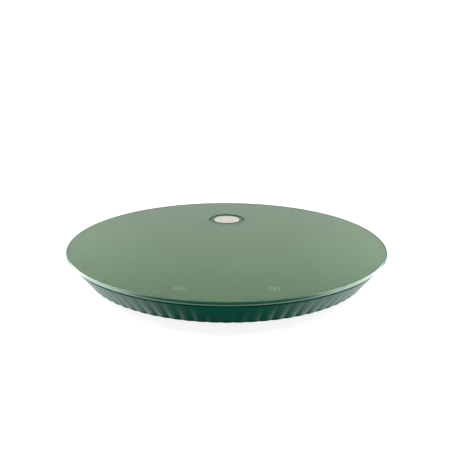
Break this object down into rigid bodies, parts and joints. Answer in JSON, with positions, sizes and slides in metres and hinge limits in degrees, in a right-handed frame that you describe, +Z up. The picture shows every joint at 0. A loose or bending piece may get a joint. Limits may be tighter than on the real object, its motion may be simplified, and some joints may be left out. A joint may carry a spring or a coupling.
{
  "type": "round kitchen platform scale",
  "caption": "Low round electronic weighing scale: flat glass platform on a pleated body, with a round push button and touch keys, on a load cell.",
  "frame": {"origin": "centre of the scale on the plane its feet rest on", "axes": "+Z up, +Y towards the round push button, touch keys towards -Y"},
  "size_m": [0.23, 0.23, 0.0212],
  "materials": {
    "platform_glass": "polished, clear with a green tint, ground and polished edge",
    "body_enamel": "glossy dark green moulding",
    "body_plastic": "fine moulded texture, dark green",
    "carrier_plastic": "glass-filled moulding, dark grey",
    "rubber_feet": "soft matte rubber",
    "cell_aluminium": "milled",
    "gauge_sealant": "white silicone sealant",
    "screw_steel": "zinc plated",
    "black_screw": "black oxide",
    "spring_steel": "bright wire",
    "contact_nickel": "nickel plated strip",
    "battery_jacket": "shrink sleeve",
    "adhesive_foam": "closed-cell foam tape",
    "board_laminate": "solder-masked laminate",
    "electronic_black": "moulded package",
    "connector_nylon": "white nylon",
    "display_plastic": "white reflector with segment wells",
    "display_film": "smoked diffusing film",
    "bezel_plastic": "glossy dark green",
    "button_metal": "fine satin",
    "switch_plastic": "moulded",
    "lead_sheath": "flexible sheath"
  },
  "bodies": {
    "base": {"pleated_body": "body_enamel", "bottom_plate": "body_plastic", "bottom_plate_screws": "black_screw", "foot_front_left": "rubber_feet", "foot_front_right": "rubber_feet", "foot_rear_left": "rubber_feet", "foot_rear_right": "rubber_feet", "overload_stop_screws": "screw_steel", "load_cell": "cell_aluminium", "strain_gauge_coating": "gauge_sealant", "load_cell_base_screws": "screw_steel", "load_cell_lead": "lead_sheath", "battery_box": "carrier_plastic", "battery_box_screws": "screw_steel", "battery_aaa_1": "battery_jacket", "battery_aaa_2": "battery_jacket", "battery_aaa_3": "battery_jacket", "battery_contact_springs": "spring_steel", "battery_contact_plates": "contact_nickel", "battery_lead": "lead_sheath"},
    "platform": {"glass_platform": "platform_glass", "platform_carrier": "carrier_plastic", "adhesive_ring": "adhesive_foam", "adhesive_pads": "adhesive_foam", "load_cell_carrier_screws": "screw_steel", "main_board": "board_laminate", "main_board_screws": "screw_steel", "display_module": "display_plastic", "display_filter": "display_film", "touch_spring_left": "spring_steel", "touch_spring_right": "spring_steel", "controller_chip": "electronic_black", "board_connectors": "connector_nylon", "buzzer": "electronic_black", "button_bezel": "bezel_plastic", "button_return_spring": "spring_steel", "switch_bracket": "carrier_plastic", "switch_bracket_screws": "screw_steel", "switch_board": "board_laminate", "tact_switch_housing": "electronic_black", "switch_lead": "lead_sheath"},
    "button": {"button_cap": "button_metal", "button_plunger": "switch_plastic", "tact_switch_stem": "switch_plastic"},
    "battery_door": {"battery_door": "body_plastic", "battery_door_latch": "body_plastic", "battery_door_pads": "adhesive_foam"}
  },
  "joints": [
    {"name": "weighing_travel", "type": "slide", "parent": "base", "child": "platform", "axis": [0, 0, 1], "range_m": [-0.0005, 0], "stiffness_N_per_m": 98000, "springref_m": 0.00005, "deforming": ["load_cell", "strain_gauge_coating", "load_cell_lead", "battery_lead"]},
    {"name": "button_press", "type": "slide", "parent": "platform", "child": "button", "axis": [0, 0, 1], "range_m": [-0.0008, 0], "stiffness_N_per_m": 1500, "springref_m": 0.0008, "deforming": ["button_return_spring"]},
    {"name": "battery_door_hinge", "type": "hinge", "parent": "base", "child": "battery_door", "pos_m": [-0.025, 0.029, 0.0023], "axis": [0, 1, 0], "range_deg": [0, 100], "deforming": ["battery_door_latch"]}
  ]
}
